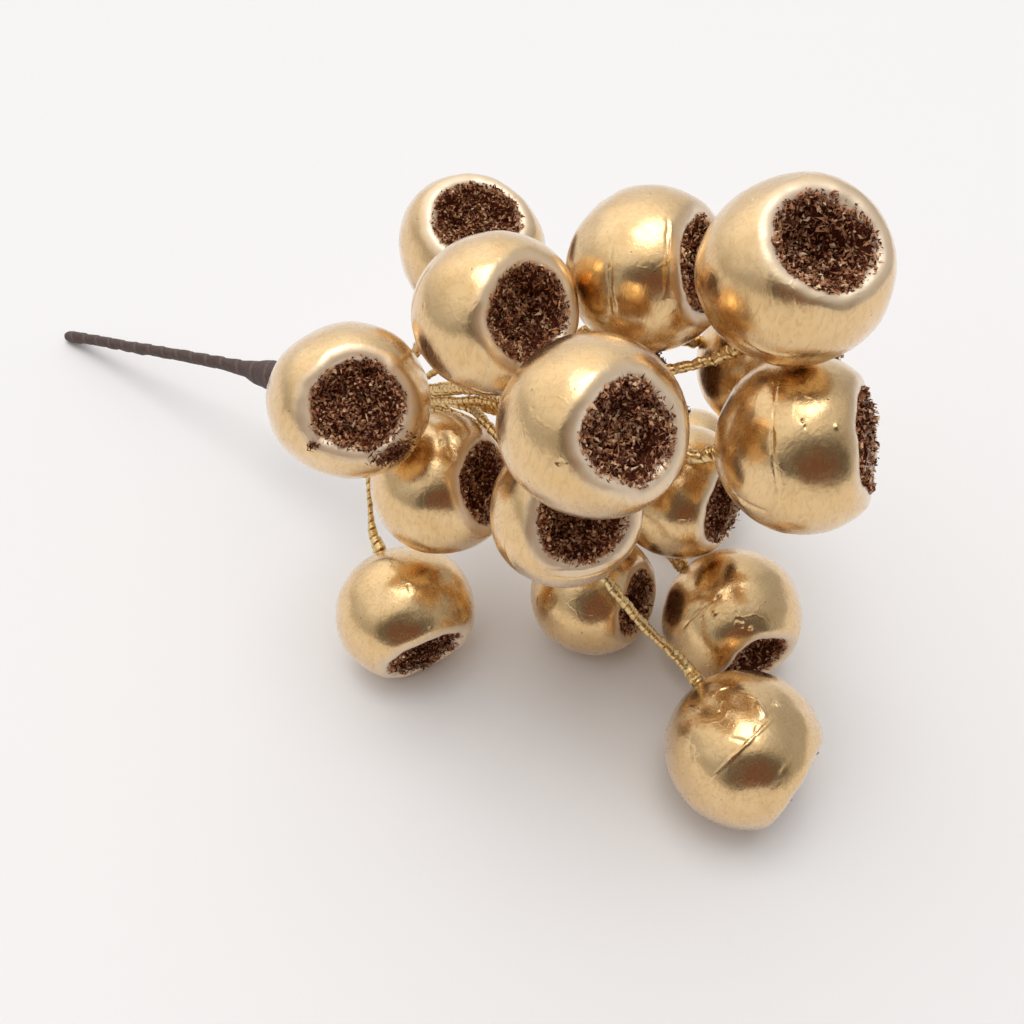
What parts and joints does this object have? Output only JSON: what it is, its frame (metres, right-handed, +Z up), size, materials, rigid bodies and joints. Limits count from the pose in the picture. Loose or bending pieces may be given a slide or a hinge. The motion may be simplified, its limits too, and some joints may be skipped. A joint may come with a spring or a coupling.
{
  "type": "eucalyptus gum nut sprig",
  "caption": "Decorative sprig of round gold-painted gum nuts with fibre-filled mouths, on thread-covered wires bound into one taped stem.",
  "frame": {"origin": "middle of the sprig's bounding box, on the surface that it lies on", "axes": "+X from the stem's tip towards the nuts, +Z up from the surface, +Y across"},
  "size_m": [0.2109, 0.0895, 0.1078],
  "materials": {
    "gold_paint": "woody capsule in satin champagne-gold metallic paint, with brush marks, pits and creases",
    "shredded_fibre": "rough shredded fibre, matte, dark maroon brown with paler chips",
    "gold_thread": "wire wound with shiny gold thread in close spiral turns",
    "florist_tape": "stretched crepe paper tape, matte to waxy, wound in overlapping turns",
    "steel_wire": "plain drawn and annealed wire"
  },
  "bodies": {
    "root": {"nut_01": "gold_paint", "nut_02": "gold_paint", "nut_03": "gold_paint", "nut_04": "gold_paint", "nut_05": "gold_paint", "nut_06": "gold_paint", "nut_07": "gold_paint", "nut_08": "gold_paint", "nut_09": "gold_paint", "nut_10": "gold_paint", "nut_11": "gold_paint", "nut_12": "gold_paint", "nut_13": "gold_paint", "nut_14": "gold_paint", "nut_15": "gold_paint", "nut_16": "gold_paint", "nut_17": "gold_paint", "fibre_bed_01": "shredded_fibre", "fibre_bed_02": "shredded_fibre", "fibre_bed_03": "shredded_fibre", "fibre_bed_04": "shredded_fibre", "fibre_bed_05": "shredded_fibre", "fibre_bed_06": "shredded_fibre", "fibre_bed_07": "shredded_fibre", "fibre_bed_08": "shredded_fibre", "fibre_bed_09": "shredded_fibre", "fibre_bed_10": "shredded_fibre", "fibre_bed_11": "shredded_fibre", "fibre_bed_12": "shredded_fibre", "fibre_bed_13": "shredded_fibre", "fibre_bed_14": "shredded_fibre", "fibre_bed_15": "shredded_fibre", "fibre_bed_16": "shredded_fibre", "fibre_bed_17": "shredded_fibre", "wire_01": "gold_thread", "wire_02": "gold_thread", "wire_03": "gold_thread", "wire_04": "gold_thread", "wire_05": "gold_thread", "wire_06": "gold_thread", "wire_07": "gold_thread", "wire_08": "gold_thread", "wire_09": "gold_thread", "wire_10": "gold_thread", "wire_11": "gold_thread", "wire_12": "gold_thread", "wire_13": "gold_thread", "wire_14": "gold_thread", "wire_15": "gold_thread", "wire_16": "gold_thread", "wire_17": "gold_thread", "taped_stem": "florist_tape", "stem_wire": "steel_wire"}
  },
  "joints": []
}
